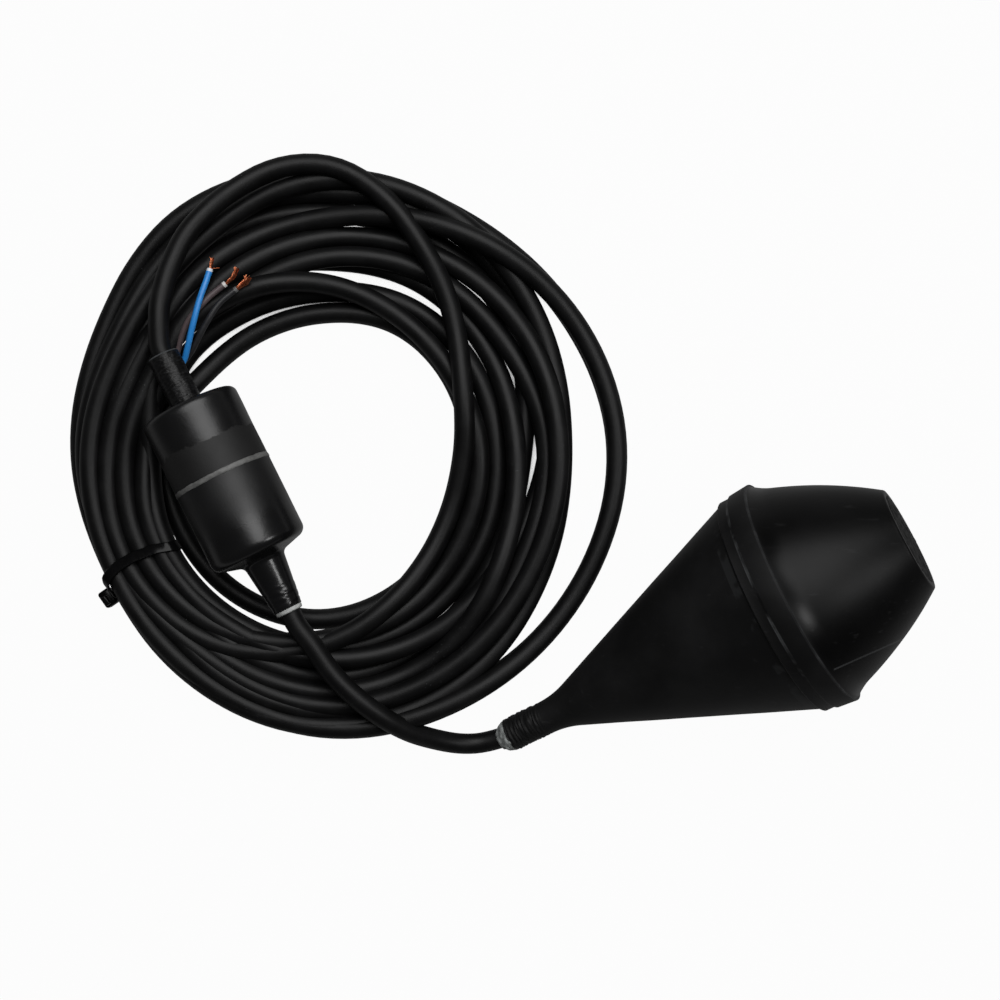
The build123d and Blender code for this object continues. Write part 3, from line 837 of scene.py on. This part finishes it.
class OBJECT_OT_float_switch_stage(bpy.types.Operator):
    """Pale bench, soft light and the camera above."""

    bl_idname = "object.float_switch_stage"
    bl_label = "Bench, light and camera"

    def execute(self, context):
        scene = context.scene
        scene.view_settings.view_transform = "Standard"
        camera = bpy.data.cameras.new("camera")
        camera.angle = math.radians(CAMERA_ANGLE)
        camera.clip_end = CAMERA_REACH
        holder = add_object("camera", camera)
        holder.location = (CAMERA_X * MM, CAMERA_Y * MM, CAMERA_HEIGHT * MM)
        scene.camera = holder
        corners = [(x * BENCH_HALF, y * BENCH_HALF, 0) for x, y in ((-1, -1), (1, -1), (1, 1), (-1, 1))]
        bench = mesh_of("bench", corners, [(0, 1, 2, 3)])
        floor = add_object("bench", bench)
        floor.location.z = -BENCH_DROP
        bench.materials.append(self.bench_finish())
        self.add_lamp("overhead", OVERHEAD_PLACE, OVERHEAD_SIZE, looks().lamp_power)
        self.add_lamp("side", SIDE_PLACE, SIDE_SIZE, looks().side_power)
        self.add_sky(scene)
        return {"FINISHED"}

    def bench_finish(self):
        """Pale bench that is white to the camera; near the pieces its white glow fades as painted contact
        shade, and its own shadows show there.
        """
        finish = Finish("bench")
        finish.set(Base_Color=(*looks().bench_colour, 1.0), Roughness=0.9)
        seen, gloss, through = (
            finish.node("ShaderNodeLightPath", {}, {}, "Is %s Ray" % kind)
            for kind in ("Camera", "Glossy", "Transmission")
        )
        # Painted contact shade: ambient occlusion fades the bench's white glow in narrow gaps and beside
        # the pieces
        open_to_sky = finish.node(
            "ShaderNodeAmbientOcclusion", {"samples": 12}, {"Distance": CONTACT_REACH}, "AO"
        ).between(CONTACT_DARK, CONTACT_CLEAR)
        share = (seen * SEEN_WHITE + (gloss + through) * MIRRORED_WHITE) * open_to_sky
        glow = finish.node("ShaderNodeEmission", {}, {"Color": WHITE, "Strength": 1.0})
        plain = Flow(finish, finish.shader.outputs[0])
        both = finish.node("ShaderNodeMixShader", {}, {0: share, 1: plain, 2: glow})
        finish.feed(finish.output.inputs[0], both)
        return finish.material

    def add_lamp(self, name, place, size, power):
        lamp = bpy.data.lights.new(name, "AREA")
        lamp.size = size
        lamp.energy = power
        holder = add_object(name, lamp)
        holder.location = place
        aim = Vector(LAMP_AIM) - Vector(place)
        holder.rotation_euler = aim.to_track_quat("-Z", "Y").to_euler()

    def add_sky(self, scene):
        """Even light from all round, with plain white for the camera behind the bench."""
        scene.world = bpy.data.worlds.new("sky")
        air = NodeBench(scene.world)
        light = air.node("ShaderNodeBackground", {}, {"Color": WHITE, "Strength": looks().sky})
        white = air.node("ShaderNodeBackground", {}, {"Color": WHITE, "Strength": 1.0})
        seen = air.node("ShaderNodeLightPath", {}, {}, "Is Camera Ray")
        both = air.node("ShaderNodeMixShader", {}, {0: seen, 1: light, 2: white})
        air.node("ShaderNodeOutputWorld", {}, {"Surface": both})


class OBJECT_OT_float_switch_cable(bpy.types.Operator):
    """The whole free cable on one line, with its tie, cores and bare strands."""

    bl_idname = "object.float_switch_cable"
    bl_label = "Cable, tie and stripped cores"

    def execute(self, context):
        sizes = cable_sizes()
        diameter = sizes.diameter / MM
        coil = settled_coil(diameter)
        line = [*LEAD_POINTS, *RISER_POINTS, *coil_points(coil), *JACKET_END_POINTS]
        cable = bar_curve("cable", [line], diameter / 2, rubber_jacket(), 6, 5)
        stand_for(
            cable, "cable_jacket",
            "cord_lead", "cord_riser", "cord_coil", "cord_stripped_end", "cable_in_weight",
        )
        drawn = curve_length(cable)
        if abs(drawn - sizes.counted_length) > LENGTH_SLACK * sizes.counted_length:
            raise RuntimeError("The cable is drawn %.2f m long, not %.2f m" % (drawn, sizes.counted_length))
        extras = [self.add_tie(coil, diameter)]
        for colour, points in CORES.items():
            extras += self.add_core(colour, points)
        return {"FINISHED"}

    def add_tie(self, coil, diameter):
        """Strap pulled round the turns that it gathers, with its head and cut tail outside."""
        wanted = math.radians(TIE_DIRECTION - 360)
        section = []
        for place, radius, angle, height in coil:
            off = (angle - wanted + math.pi) % (2 * math.pi) - math.pi
            if abs(off) < math.radians(TIE_SLICE) and turn_rank(place) > 0:
                x, y = seen_at(COIL_X + radius * math.cos(angle), COIL_Y + radius * math.sin(angle), height)
                section.append((math.hypot(x - COIL_X, y - COIL_Y), height))
        grown = diameter / 2 + TIE_THICKNESS / 2 + TIE_SLACK
        outline = []
        for radius, height in section:
            for i in range(TIE_STEPS):
                turn = 2 * math.pi * i / TIE_STEPS
                rise = max(height + grown * math.sin(turn), TIE_FOOT)
                outline.append((radius + grown * math.cos(turn), rise))
        loop = spread(hull(outline), 1.6)
        out = heading_vector(TIE_DIRECTION)
        side = UP.cross(out)
        middle = Vector((COIL_X, COIL_Y, 0))
        points = []
        count = len(loop)
        for i, (radius, height) in enumerate(loop):
            before, after = Vector(loop[i - 1]), Vector(loop[(i + 1) % count])
            way = (after - before).normalized()
            normal = Vector((way.y, -way.x))
            for depth, across in self.strap_outline():
                flat = Vector((radius, height)) + normal * depth
                aside = across - self.bend(radius, height)
                points.append((middle + out * flat.x + UP * flat.y + side * aside) * MM)
        ring = len(self.strap_outline())
        faces = []
        for i in range(count):
            here, there = i * ring, (i + 1) % count * ring
            for k in range(ring):
                beside = (k + 1) % ring
                faces.append((here + k, here + beside, there + beside, there + k))
        mesh = mesh_of("tie", points, faces)
        reach = max(radius for radius, _ in section) + grown
        with reworked(mesh) as solid:
            for (past, up, across), size, edge in (TIE_HEAD, TIE_TAIL):
                self.add_block(solid, middle, out, side, (reach + past, up, across), size, edge)
            bmesh.ops.recalc_face_normals(solid, faces=solid.faces)
        return show("tie", mesh, nylon(), "cable_tie", "tie", 50)

    def bend(self, radius, height):
        """How far the strap swings sideways over the bundle; none where it lies on the bench."""
        share = min(1.0, max(0.0, (height - TIE_LOW) / (TIE_RISEN - TIE_LOW)))
        for (near, small), (far, large) in zip(TIE_BEND, TIE_BEND[1:]):
            if radius < far:
                part = max(0.0, (radius - near) / (far - near))
                return (small + (large - small) * part) * share
        return TIE_BEND[-1][1] * share

    def strap_outline(self):
        """The strap's section as (depth, across) corners, with cut corners and a shallow groove outside."""
        half, edge, cut = TIE_THICKNESS / 2, TIE_WIDTH / 2, 0.4
        return (
            (-half, -edge + cut), (-half, edge - cut), (-half + cut, edge), (half - cut, edge),
            (half, edge - cut), (half * 0.7, 0.0), (half, -edge + cut), (half - cut, -edge),
            (-half + cut, -edge),
        )

    def add_block(self, solid, middle, out, side, place, size, edge):
        """A rounded block at (outward, up, across) in the tie's plane."""
        turn = Matrix((out, UP, side)).transposed().to_4x4()
        spot = middle + out * place[0] + UP * place[1] + side * place[2]
        grow = Matrix.Diagonal((*size, 1.0))
        made = bmesh.ops.create_cube(
            solid, size=1.0, matrix=Matrix.Scale(MM, 4) @ Matrix.Translation(spot) @ turn @ grow
        )
        edges = {e for v in made["verts"] for e in v.link_edges}
        bmesh.ops.bevel(
            solid, geom=list(edges), offset=edge * MM, segments=3, affect="EDGES", profile=0.5
        )

    def add_core(self, colour, points):
        """A core's insulation, with its tuft of bare strands."""
        way = (Vector(points[-1]) - Vector(points[-2])).normalized()
        insulation = core_sleeve("core_" + colour, *CORE_TONES[colour], points[-1], way)
        core = bar_curve("core_sleeve_" + colour, [points], CORE_DIAMETER / 2, insulation, 4, 8)
        brush = bar_curve("strands_" + colour, self.tuft(colour), STRAND_RADIUS, bare_copper(), 1, 5)
        return [
            stand_for(core, "core_" + colour, "core_" + colour),
            stand_for(brush, "copper", "copper_" + colour),
        ]

    def tuft(self, colour):
        """Bare strands that twist round a guide line and spread a little at their tips."""
        guide = [Vector(point) for point in TUFTS[colour]]
        chance = random.Random(sum(ord(letter) for letter in colour))
        splay = cable_sizes().strand_splay
        strands = []
        for i in range(STRANDS_PER_CORE):
            turn = i * 2.4
            out = TUFT_RADIUS[colour] * math.sqrt((i + 0.5) / STRANDS_PER_CORE)
            last = 1 - chance.uniform(0.0, 0.3)
            strand = [tuple(guide[0] - (guide[1] - guide[0]) * 0.4)]
            for step in range(6):
                part = last * step / 5
                place = part * (len(guide) - 1)
                j = min(int(place), len(guide) - 2)
                spot = guide[j].lerp(guide[j + 1], place - j)
                way = (guide[j + 1] - guide[j]).normalized()
                across = way.cross(UP).normalized()
                up = across.cross(way)
                angle = turn + TUFT_TWIST * part
                wide = out * (0.75 + part * splay) + chance.uniform(-0.1, 0.25) * part * splay
                strand.append(tuple(spot + (across * math.cos(angle) + up * math.sin(angle)) * wide))
            strands.append(strand)
        if colour in STRAYS:
            strands.append(STRAYS[colour])
        return strands


class OBJECT_OT_float_switch_float(bpy.types.Operator):
    """The float: cone with its belt, bowed cap and end plug, with their moulding marks."""

    bl_idname = "object.float_switch_float"
    bl_label = "Float shells"

    def execute(self, context):
        matt = float_plastic("cone_plastic", colours().cone, 0.42)
        satin = float_plastic("cap_plastic", colours().cap, 0.3)
        grey = sealant("neck_sealant", (0.26, 0.275, 0.27))
        show("float_cone_shell", self.cone(), matt, "float_cone", "float_shell", CRISP)
        show("float_cap_shell", self.cap(), satin, "float_cap", "float_shell", CRISP)
        show("end_plug", self.plug(), end_face_plastic(), "float_end_plug", "end_plug", CRISP)
        show("neck_sealant", self.neck_sealant(), grey, "neck_seal", "sealant")
        return {"FINISHED"}

    def cone(self):
        slope = (CONE_END_RADIUS - NECK_RADIUS) / (CONE_END - CONE_START)
        lean = math.atan(slope)
        reach = FLARE_RADIUS * math.tan(lean / 2)
        flare_start = CONE_START - reach
        flare_end = CONE_START + reach * math.cos(lean)
        outside = []
        z = 0.0
        while z < CONE_END - 0.01:
            if z < flare_start:
                radius = NECK_RADIUS
            elif z < flare_end:
                radius = NECK_RADIUS + FLARE_RADIUS - math.sqrt(FLARE_RADIUS ** 2 - (z - flare_start) ** 2)
            else:
                radius = CONE_END_RADIUS - (CONE_END - z) * slope
            outside.append((radius, z))
            z += 0.3 if z < 20 else 1.4
        lip_radius = CONE_END_RADIUS + LIP_STEP
        lip_start = CONE_END + LIP_STEP / 3
        lip_end = CONE_END + LIP_LENGTH
        socket_floor = BELT_END - SOCKET_DEPTH
        inside_end = CONE_END_RADIUS - (CONE_END - socket_floor) * slope - SOCKET_WALL
        inside_start = CONE_END_RADIUS - (CONE_END - RESIN_START) * slope - SHELL_WALL
        belt = [
            (CONE_END_RADIUS, CONE_END), (lip_radius - 0.25, lip_start), (lip_radius, lip_start + 0.3),
            (lip_radius, lip_end - 0.2), (lip_radius + 0.12, lip_end),
            (lip_radius + BELT_STEP, lip_end + 0.6), (lip_radius + BELT_STEP + 0.15, lip_end + 0.9),
            (BELT_RADIUS - 0.25, BELT_END - 0.35),
            (BELT_RADIUS - 0.3, BELT_END - 0.05), (BELT_RADIUS - 0.55, BELT_END),
            (SOCKET_RADIUS + GROOVE_RADIUS, BELT_END), (SOCKET_RADIUS + 0.45, BELT_END - 0.45),
            (SOCKET_RADIUS, BELT_END - GROOVE_RADIUS), (SOCKET_RADIUS, socket_floor),
            (inside_end, socket_floor), (inside_start, RESIN_START), (NECK_BORE, RESIN_START),
            (NECK_BORE, 0.0),
        ]
        ring_depth = marks().neck_ring_depth / MM

        def push(radius, height, angle):
            if radius < NECK_BORE + 0.1 and height <= RESIN_START:
                return 0.0
            around = (radius * math.cos(angle), radius * math.sin(angle), height)
            wave = CONE_WAVE * ripple(around, 0.05, 3.0)
            if height < CONE_START and radius > NECK_BORE + 0.5:
                fade = min(1.0, max(0.0, (19 - height) / 3))
                spot = (math.cos(angle) * 1.2, math.sin(angle) * 1.2, height * 0.9)
                wave += ring_depth * fade * (ripple(spot, 1.0, 7.0) * 1.2 + ripple(spot, 1.9, 9.0) * 0.7)
            return wave

        return turned_mesh("float_cone_shell", outside + belt, FLOAT_AXES, 220, push)

    def cap(self):
        spigot = SOCKET_RADIUS - SEAT_GAP
        inner = spigot - SHELL_WALL
        start = BELT_END - SOCKET_DEPTH + SEAT_GAP
        outside = self.bowed(spigot, BELT_END, CAP_END_RADIUS, CAP_END, 60, FILLET_HEIGHT)
        inside = self.bowed(inner, BELT_END, PLUG_RADIUS, CAP_END - PLUG_DEPTH, 10)
        profile = [(spigot, start)] + outside[:-1] + [
            (CAP_END_RADIUS + 0.4, CAP_END - 0.5), (CAP_END_RADIUS, CAP_END - 0.1),
            (CAP_END_RADIUS - 0.4, CAP_END), (PLUG_RADIUS, CAP_END),
        ] + inside[::-1] + [(inner, start)]

        def push(radius, height, angle):
            around = (radius * math.cos(angle), radius * math.sin(angle), height)
            return CAP_WAVE * ripple(around, 0.045, 5.0)

        return turned_mesh("float_cap_shell", profile, FLOAT_AXES, 220, push)

    def bowed(self, start_radius, start, end_radius, end, count, fillet=0.0):
        """Outward bowed line between two (radius, height) ends, with a fillet at its start."""
        length = math.hypot(end_radius - start_radius, end - start)
        outward = ((end - start) / length, (start_radius - end_radius) / length)
        points = []
        for i in range(count + 1):
            part = i / count
            lift = CAP_BULGE * 4 * part * (1 - part)
            radius = start_radius + (end_radius - start_radius) * part + outward[0] * lift
            height = start + (end - start) * part + outward[1] * lift
            left = max(0.0, 1 - (height - start) / FILLET_LENGTH)
            points.append((radius + fillet * left * left, height))
        return points

    def plug(self):
        radius = PLUG_RADIUS - SEAT_GAP
        floor = CAP_END - PLUG_DEPTH
        parts = [i / 14 for i in range(14, -1, -1)]
        rings = [(radius * part, CAP_END + PLUG_BULGE * (1 - part ** 2)) for part in parts]
        mesh = turned_mesh("end_plug", [(0.0, floor), (radius, floor)] + rings, FLOAT_AXES, 96)
        mouth = Vector(FLOAT_MOUTH) * MM
        for vertex in mesh.vertices:
            along = (vertex.co - mouth).dot(FLOAT_WAY) / MM
            if along > CAP_END - 1:
                spot = vertex.co / MM
                rough = ripple(spot, 0.35, 2.0) * 0.5 + ripple(spot, 0.9, 4.0) * 0.3
                vertex.co += FLOAT_WAY * rough * MM
        return mesh

    def neck_sealant(self):
        profile = [
            (SEAL_BORE, 0.4), (7.4, 0.4), (7.3, -1.4), (6.6, -2.8), (5.6, -4.2), (4.9, -5.6),
            (SEAL_BORE, -5.8),
        ]

        def push(radius, height, angle):
            if radius < SEAL_BORE + 0.1:
                return 0.0
            spot = (math.cos(angle) * 2, math.sin(angle) * 2, height * 0.5)
            return 0.7 * ripple(spot, 1.3, 12.0)

        return turned_mesh("neck_sealant", spread(profile, 0.7), FLOAT_AXES, 80, push)


class OBJECT_OT_float_switch_weight(bpy.types.Operator):
    """The counterweight: its two cups, the seam's sealant, the creased sleeve and the stem's ring."""

    bl_idname = "object.float_switch_weight"
    bl_label = "Counterweight"

    def execute(self, context):
        glossy = weight_plastic()
        grey = sealant("seam_sealant", (0.115, 0.115, 0.112))
        pale = sealant("stem_sealant", (0.45, 0.46, 0.45))
        show("upper_cup", self.upper_cup(), glossy, "weight_upper_shell", "weight_shell", CRISP)
        show("lower_cup", self.lower_cup(), glossy, "weight_lower_shell", "weight_shell", CRISP)
        show("seam_sealant", self.band(), grey, "weight_seam_band", "sealant")
        show("creased_sleeve", self.sleeve(), wrapped_film(), "weight_sleeve", "sleeve")
        show("stem_sealant", self.ring(), pale, "weight_stem_seal", "sealant")
        return {"FINISHED"}

    def dents(self, radius, height, angle):
        if radius <= WEIGHT_RADIUS - 1:
            return 0.0
        spot = (radius * math.cos(angle), radius * math.sin(angle), height)
        return CUP_WAVE * ripple(spot, 0.09, 21.0)

    def upper_cup(self):
        rim = SEAM - SEAM_WIDTH / 2
        inner = WEIGHT_RADIUS - WEIGHT_WALL
        top = SLEEVE_LENGTH
        profile = [
            (SLEEVE_RADIUS, BODY_TOP), (WEIGHT_RADIUS, BODY_TOP), (WEIGHT_RADIUS, rim),
            (WEIGHT_RADIUS - SEAM_DEPTH, rim), (WEIGHT_RADIUS - SEAM_DEPTH, SEAM), (inner, SEAM),
            (inner, top + WEIGHT_WALL), (SLEEVE_RADIUS, top + WEIGHT_WALL),
        ]
        return turned_mesh("upper_cup", spread(rounded(profile, 1, 3.2), 2.5), WEIGHT_AXES, 160, self.dents)

    def lower_cup(self):
        rim = SEAM + SEAM_WIDTH / 2
        inner = WEIGHT_RADIUS - WEIGHT_WALL
        tip = STEM_START + STEM_LENGTH
        floor = BODY_END - FLOOR_WALL
        crease_depth = marks().stem_crease_depth / MM
        profile = [
            (WEIGHT_RADIUS, rim), (WEIGHT_RADIUS, BODY_END), (STEM_ROOT_RADIUS, STEM_START),
            (STEM_TIP_RADIUS, tip), (STEM_BORE, tip), (STEM_BORE, floor), (inner - INNER_BEVEL, floor),
            (inner, floor - INNER_BEVEL), (inner, SEAM), (WEIGHT_RADIUS - SEAM_DEPTH, SEAM),
            (WEIGHT_RADIUS - SEAM_DEPTH, rim),
        ]
        profile = rounded(rounded(profile, 2, 3.0), 1, 4.5, 8)

        def push(radius, height, angle):
            wave = self.dents(radius, height, angle)
            if height > tip - 12 and radius > STEM_BORE + 0.5:
                spot = (math.cos(angle) * 1.5, math.sin(angle) * 1.5, height * 0.9)
                wave += crease_depth * ripple(spot, 1.0, 61.0) * min(1.0, (height - tip + 12) / 3)
            return wave

        return turned_mesh("lower_cup", spread(profile, 0.65), WEIGHT_AXES, 160, push)

    def band(self):
        low, high = SEAM - SEAM_WIDTH / 2, SEAM + SEAM_WIDTH / 2
        outer = WEIGHT_RADIUS + 0.25
        profile = [
            (WEIGHT_RADIUS - SEAM_DEPTH, low), (WEIGHT_RADIUS, low - 0.2), (outer, low + 0.5),
            (outer + 0.05, (low + high) / 2), (outer, high - 0.5), (WEIGHT_RADIUS, high + 0.2),
            (WEIGHT_RADIUS - SEAM_DEPTH, high),
        ]

        def push(radius, height, angle):
            if radius < WEIGHT_RADIUS - 0.5:
                return 0.0
            return 0.3 * ripple((angle * 5, height * 0.6, radius), 1.0, 31.0)

        return turned_mesh("seam_sealant", spread(profile, 0.6), WEIGHT_AXES, 220, push)

    def sleeve(self):
        inner = SLEEVE_RADIUS - SLEEVE_WALL
        foot = SLEEVE_LENGTH + WEIGHT_WALL
        fold_depth = marks().sleeve_fold_depth / MM
        profile = [
            (inner, -0.4), (SLEEVE_RADIUS - 0.4, -0.4), (SLEEVE_RADIUS, 0.3), (SLEEVE_RADIUS, foot),
            (inner, foot),
        ]

        def push(radius, height, angle):
            if radius < inner + 0.5 or height > SLEEVE_LENGTH - 0.5:
                return 0.0
            spot = (math.cos(angle) * 2.2, math.sin(angle) * 2.2, height * 0.28)
            fold = ripple(spot, 1.2, 41.0) * 0.9 + ripple(spot, 2.6, 43.0) * 0.5
            return fold_depth * fold * min(1.0, (SLEEVE_LENGTH - height) / 3)

        return turned_mesh("creased_sleeve", spread(profile, 0.7), WEIGHT_AXES, 120, push)

    def ring(self):
        tip = STEM_START + STEM_LENGTH
        end = tip + RING_LENGTH
        profile = [
            (SEAL_BORE, tip), (RING_RADIUS + 0.5, tip), (RING_RADIUS + 0.4, end - 0.4),
            (RING_RADIUS - 0.3, end), (SEAL_BORE, end),
        ]

        def push(radius, height, angle):
            return 0.0 if radius < SEAL_BORE + 0.1 else 0.2 * ripple((angle * 2, height, 0), 1.0, 51.0)

        return turned_mesh("stem_sealant", spread(profile, 0.5), WEIGHT_AXES, 72, push)


class OBJECT_OT_float_switch_inside(bpy.types.Operator):
    """Finishes of the sealed pieces inside the float and the counterweight."""

    bl_idname = "object.float_switch_inside"
    bl_label = "Inner pieces"

    def execute(self, context):
        jacket = bpy.data.materials["rubber_jacket"]
        cores = plain_finish("inner_cores", (0.03, 0.03, 0.032), (0.06, 0.06, 0.064), 0.4)
        resin = plain_finish("potting_resin", (0.05, 0.035, 0.02), (0.09, 0.06, 0.03), 0.35)
        clear = plain_finish("capsule_plastic", (0.5, 0.5, 0.47), (0.62, 0.62, 0.58), 0.3)
        case = plain_finish("switch_case", (0.02, 0.02, 0.022), (0.04, 0.04, 0.044), 0.45)
        brass = plain_finish("terminal_brass", (0.7, 0.52, 0.24), (0.8, 0.62, 0.32), 0.3, 1.0)
        steel = plain_finish("bright_steel", (0.6, 0.6, 0.62), (0.72, 0.72, 0.74), 0.2, 1.0)
        button = plain_finish("button_plastic", (0.5, 0.05, 0.04), (0.6, 0.08, 0.06), 0.35)
        iron = plain_finish("cast_iron", (0.10, 0.095, 0.09), (0.2, 0.19, 0.18), 0.6, 1.0, 900.0)
        inner = {
            "cable_end_in_neck": jacket, "inner_cores": cores, "potting_resin": resin,
            "capsule_tube": clear, "capsule_lid": clear,
            "microswitch_case": case, "microswitch_terminals": brass, "microswitch_button": button,
            "microswitch_lever": steel, "steel_ball": steel, "weight_ballast": iron,
        }
        for node, material in inner.items():
            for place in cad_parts[node].material_slots:
                place.material = material
        return {"FINISHED"}


class VIEW3D_PT_float_switch(bpy.types.Panel):
    """Lists the float switch's pieces in the sidebar."""

    bl_label = "Float switch"
    bl_space_type = "VIEW_3D"
    bl_region_type = "UI"
    bl_category = "Float switch"

    def draw(self, context):
        for operator in PIECES:
            self.layout.operator(operator.bl_idname)
        for name, kind in GROUPS.items():
            for setting in kind.__annotations__:
                self.layout.prop(getattr(context.scene, name), setting)


PIECES = (
    OBJECT_OT_float_switch_stage,
    OBJECT_OT_float_switch_cable,
    OBJECT_OT_float_switch_float,
    OBJECT_OT_float_switch_weight,
    OBJECT_OT_float_switch_inside,
)
GROUPS = {
    "float_switch_cable": CableSizes,
    "float_switch_marks": MouldingMarks,
    "float_switch_colours": Colours,
    "float_switch_stage": StageLook,
}


def register():
    for kind in (*GROUPS.values(), *PIECES, VIEW3D_PT_float_switch):
        bpy.utils.register_class(kind)
    for name, group in GROUPS.items():
        setattr(bpy.types.Scene, name, bpy.props.PointerProperty(type=group))


def unregister():
    for name in GROUPS:
        delattr(bpy.types.Scene, name)
    for kind in (VIEW3D_PT_float_switch, *reversed(PIECES), *reversed(GROUPS.values())):
        bpy.utils.unregister_class(kind)


def main():
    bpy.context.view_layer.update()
    register()
    for operator in PIECES:
        area, name = operator.bl_idname.split(".")
        getattr(getattr(bpy.ops, area), name)()


if __name__ == "__main__":
    main()
